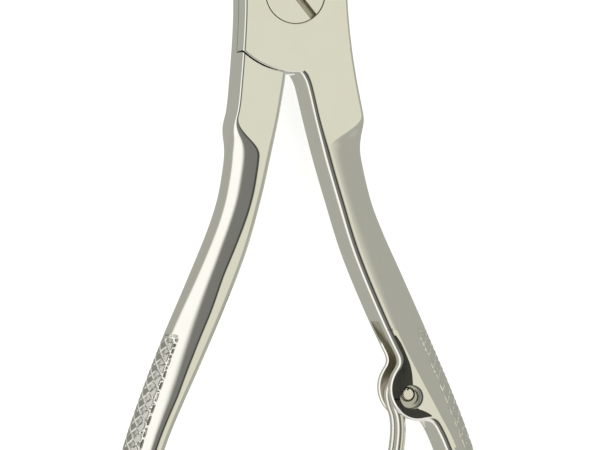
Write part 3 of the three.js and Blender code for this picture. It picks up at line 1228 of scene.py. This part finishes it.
@dataclass
class SpringPin:
    """The domed pin across the lug, in millimetres."""

    dome: float = 0.2
    nick: float = 0.45

    def build(self, finish: bpy.types.Material) -> bpy.types.Object:
        """Make the pin from the frame's box for it.

        Args:
            finish: The bare steel.

        Returns:
            The pin.
        """
        low, high = node_box("spring_pin")
        r, middle = (high.x - low.x) / 2, (low + high) / 2
        turns = [math.pi / 2 * i / 8 for i in range(9)]
        dome = [(r - self.dome * (1 - math.cos(a)), high.z - self.dome * (1 - math.sin(a))) for a in turns]
        outline = [(r - 0.2, low.z), (r, low.z + 0.2), *dome]
        piece = lathe("domed_spring_pin", outline, (middle.x, middle.y), 96)
        piece.data.materials.append(finish)
        notch = [(-self.nick, r + 0.1), (0.0, r - self.nick), (self.nick, r + 0.1)]
        corner = [(middle.x - 0.1 + x, middle.y + y) for x, y in notch]
        return combine(piece, "DIFFERENCE", [slab("pin_nick", corner[::-1], high.z - 0.8, high.z + 0.5)])


@dataclass
class WireSpring:
    """The opening spring: one wire doubled into two eyes, two bows and a bend, in millimetres."""

    radius: float = 1.05
    spacing: float = 4.1
    eye_radius: float = 2.3
    bow: list[tuple[float, float]] = field(default_factory=lambda: [
        (20.0, -83), (20.75, -85.4), (20.95, -88.2), (20.45, -92.5), (19.1, -98.5), (15.6, -106.2), (9, -113),
        (-0.7, -117), (-11.5, -116.6), (-21, -112.6), (-27.4, -107.4), (-30.4, -103.6)])

    def build(self, finish: bpy.types.Material) -> bpy.types.Object:
        """Sweep the wire along its path with a node tree.

        Args:
            finish: The drawn steel.

        Returns:
            The spring.
        """
        path = self._path()
        curve = bpy.data.curves.new("bent_spring_wire", "CURVE")
        curve.dimensions = "3D"
        line = curve.splines.new("POLY")
        line.points.add(len(path) - 1)
        line.points.foreach_set("co", [c for p in path for c in (*(v * MM for v in p), 1.0)])
        source = bpy.data.objects.new("spring_path", curve)
        bpy.context.scene.collection.objects.link(source)
        piece = new_object("bent_wire_spring", bpy.data.meshes.new("bent_wire_spring"))
        tree = ShapeTree("wire_along_its_path", {"Wire Radius": self.radius * MM})
        settings = {"transform_space": "ORIGINAL"}
        route = tree.tree.node("GeometryNodeObjectInfo", settings, {"Object": source})
        round_wire = {"Resolution": 32, "Radius": tree.size("Wire Radius")}
        ring = tree.tree.node("GeometryNodeCurvePrimitiveCircle", inputs=round_wire)
        inputs = {
            "Curve": route.outputs["Geometry"],
            "Profile Curve": ring.outputs["Curve"],
            "Fill Caps": True,
        }
        tube = tree.tree.node("GeometryNodeCurveToMesh", inputs=inputs)
        tree.close(tube.outputs["Mesh"], finish)
        tree.shape(piece)
        bpy.data.objects.remove(source)
        face_outwards(piece)
        return piece

    def _path(self) -> list[Point]:
        """Trace the wire from one eye's end to the other's.

        Returns:
            The points in millimetres.
        """
        low, high = node_box("spring_pin")
        pin = (low + high) / 2
        front, back = MIDDLE + self.spacing / 2, MIDDLE - self.spacing / 2
        turns = [math.radians(27 * i - 90) for i in range(11)]
        eye = [(pin.x + self.eye_radius * math.cos(a), pin.y + self.eye_radius * math.sin(a)) for a in turns]
        leg = [*eye, *self.bow]
        (bx, by), (ex, ey) = leg[-2:]
        reach = math.dist((bx, by), (ex, ey))
        forward = [(x, y, front) for x, y in leg]
        returning = [(x, y, back) for x, y in reversed(leg)]
        bend = []
        for degrees in (45, 90, 135):
            angle = math.radians(degrees)
            out = self.spacing / 2 * math.sin(angle) / reach
            height = MIDDLE + self.spacing / 2 * math.cos(angle)
            bend.append((ex + (ex - bx) * out, ey + (ey - by) * out, height))
        return rounded([*forward, *bend, *returning], 10)


def rounded(points: list[Point], steps: int) -> list[Point]:
    """Pass a centripetal Catmull-Rom curve through points.

    Args:
        points: The points to pass through.
        steps: How many steps each stretch takes.

    Returns:
        The finer points.
    """
    ways = [Vector(p) for p in points]
    ways = [ways[0] * 2 - ways[1], *ways, ways[-1] * 2 - ways[-2]]
    found: list[Point] = []
    for p0, p1, p2, p3 in zip(ways, ways[1:], ways[2:], ways[3:]):
        knots = [0.0]
        for a, b in ((p0, p1), (p1, p2), (p2, p3)):
            knots.append(knots[-1] + math.sqrt((b - a).length))
        t0, t1, t2, t3 = knots
        for i in range(steps):
            t = mix(t1, t2, i / steps)
            a1 = p0.lerp(p1, (t - t0) / (t1 - t0))
            a2 = p1.lerp(p2, (t - t1) / (t2 - t1))
            a3 = p2.lerp(p3, (t - t2) / (t3 - t2))
            b1 = a1.lerp(a2, (t - t0) / (t2 - t0))
            b2 = a2.lerp(a3, (t - t1) / (t3 - t1))
            found.append(tuple(b1.lerp(b2, (t - t1) / (t2 - t1))))
    return found + [points[-1]]


# ---- the studio ----
@dataclass(frozen=True)
class Panel:
    """A long soft panel beside the tool, placed by its angle about the tool's length in degrees."""

    centre: float
    half_width: float
    soft_edge: float
    colour: Colour

    def share(self, angle: Value) -> Value:
        """Tell how much of the panel is met at an angle.

        Args:
            angle: The angle about the tool's length, in degrees, 0 straight above.

        Returns:
            1 on the panel and 0 beside it.
        """
        half_edge = self.soft_edge / 2
        away = abs(angle - self.centre)
        return 1 - smooth_step(away, self.half_width - half_edge, self.half_width + half_edge)


LEFT_PANEL = Panel(-66, 22, 12, (1.1, 1.1, 1.06))
WARM_PANEL = Panel(24, 19, 14, (0.76, 0.76, 0.64))
SOFT_SHADE = Panel(-26, 18, 16, (0.2, 0.205, 0.19))
DARK_GAP = Panel(-4, 8, 6, (0.06, 0.062, 0.058))


@dataclass
class Studio:
    """The pale floor, the soft light all round and the camera."""

    tilt: float = 14.0
    roll: float = -1.15
    distance: float = 0.7
    aim: tuple[float, float] = (-0.05, -46.4)
    lens: float = 210.0
    surround: Colour = (0.42, 0.425, 0.38)
    tool_ends: Colour = (0.85, 0.85, 0.83)
    ends_from_to: tuple[float, float] = (0.55, 0.8)
    panels: tuple[Panel, ...] = (WARM_PANEL, SOFT_SHADE, DARK_GAP, LEFT_PANEL)

    def build(self) -> None:
        """Set up floor, light and camera."""
        self._floor()
        self._light()
        self._camera()
        bpy.context.scene.view_settings.view_transform = "Standard"

    def _floor(self) -> None:
        """Lay a wide pale floor just under the tool."""
        reach, drop = 3000.0, -0.02
        corners = [(-reach, -reach), (reach, -reach), (reach, reach), (-reach, reach)]
        mesh = bpy.data.meshes.new("pale_floor")
        mesh.from_pydata([(x * MM, y * MM, drop * MM) for x, y in corners], [], [(0, 1, 2, 3)])
        made = new_object("pale_floor", mesh)
        made.visible_glossy = False
        material = bpy.data.materials.new("pale_floor")
        material.use_nodes = True
        tree = Tree(material.node_tree)
        shader = tree.node("ShaderNodeBsdfPrincipled", inputs={
            "Base Color": (0.8, 0.8, 0.8, 1), "Roughness": 1.0, "Specular IOR Level": 0.0,
            "Emission Color": (1.0, 1.0, 1.0, 1), "Emission Strength": 0.72})
        tree.node("ShaderNodeOutputMaterial", inputs={"Surface": shader.outputs["BSDF"]})
        mesh.materials.append(material)

    def _light(self) -> None:
        """Light the tool from all round, by the angle about its length."""
        world = bpy.data.worlds.new("soft_studio")
        world.use_nodes = True
        bpy.context.scene.world = world
        tree = Tree(world.node_tree)
        way = tree.node("ShaderNodeTexCoord").outputs["Generated"]
        parts = tree.node("ShaderNodeSeparateXYZ", inputs={"Vector": way})
        x, y, z = (tree.value(parts, i) for i in range(3))
        angle = x.math("ARCTAN2", z) * math.degrees(1)
        colour: Colour | bpy.types.NodeSocket = (*self.surround, 1)
        for panel in self.panels:
            colour = tree.blend(panel.share(angle), colour, (*panel.colour, 1))
        colour = tree.blend(smooth_step(abs(y), *self.ends_from_to), colour, (*self.tool_ends, 1))
        glow = tree.node("ShaderNodeBackground", inputs={"Color": colour, "Strength": 1.0})
        tree.node("ShaderNodeOutputWorld", inputs={"Surface": glow.outputs["Background"]})

    def _camera(self) -> None:
        """Look at the tool's front from a little to the left."""
        tilt, roll = math.radians(self.tilt), math.radians(self.roll)
        back = Vector((-math.sin(tilt), 0, math.cos(tilt)))
        right = Vector((0, 1, 0)).cross(back).normalized()
        up = back.cross(right)
        turned = right * math.cos(roll) + up * math.sin(roll)
        upright = up * math.cos(roll) - right * math.sin(roll)
        place = Vector((*self.aim, THICKNESS)) * MM + back * self.distance
        camera = bpy.data.cameras.new("studio_camera")
        camera.lens = self.lens
        camera.clip_start = 0.01
        made = bpy.data.objects.new("studio_camera", camera)
        made.matrix_world = Matrix((turned, upright, back)).transposed().to_4x4()
        made.matrix_world.translation = place
        bpy.context.scene.collection.objects.link(made)
        bpy.context.scene.camera = made


def mount(piece: bpy.types.Object, node: str, body: str) -> None:
    """Let a finished piece stand for its frame node.

    Args:
        piece: The finished piece.
        node: The frame node it stands for.
        body: The body it moves with.
    """
    finish_shading(piece)
    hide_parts(node)
    if body:
        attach(piece, body)
    log.info("%s stands for %s with %d faces", piece.name, node, len(piece.data.polygons))


def main() -> None:
    """Build the studio and every piece of the pliers."""
    logging.basicConfig(level=logging.INFO)
    Studio().build()
    nickel, milled = NICKEL.build(), MILLED.build()
    # Darker and lighter copies of the plating paint shade in the rear and front grips' sunk ground.
    halves = Forgings(DARK_PAINTED_SHADE.build(), LIGHT_PAINTED_SHADE.build())
    # The near-black recess finish paints shade on the hollowed facet and in the pin hole.
    mount(halves.build_front(nickel, milled, PAINTED_SHADE_RECESS.build()), "front_half", "front_half")
    mount(halves.build_rear(nickel, milled), "rear_half", "rear_half")
    mount(PivotScrew().build(SCREW_NICKEL.build(), milled), "pivot_screw", "rear_half")
    mount(SpringPin().build(PIN_STEEL.build()), "spring_pin", "front_half")
    spring = WireSpring()
    wire = spring.build(SPRING_WIRE.build())
    mount(wire, "wire_spring", "")
    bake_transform(wire)


if __name__ == "__main__":
    main()
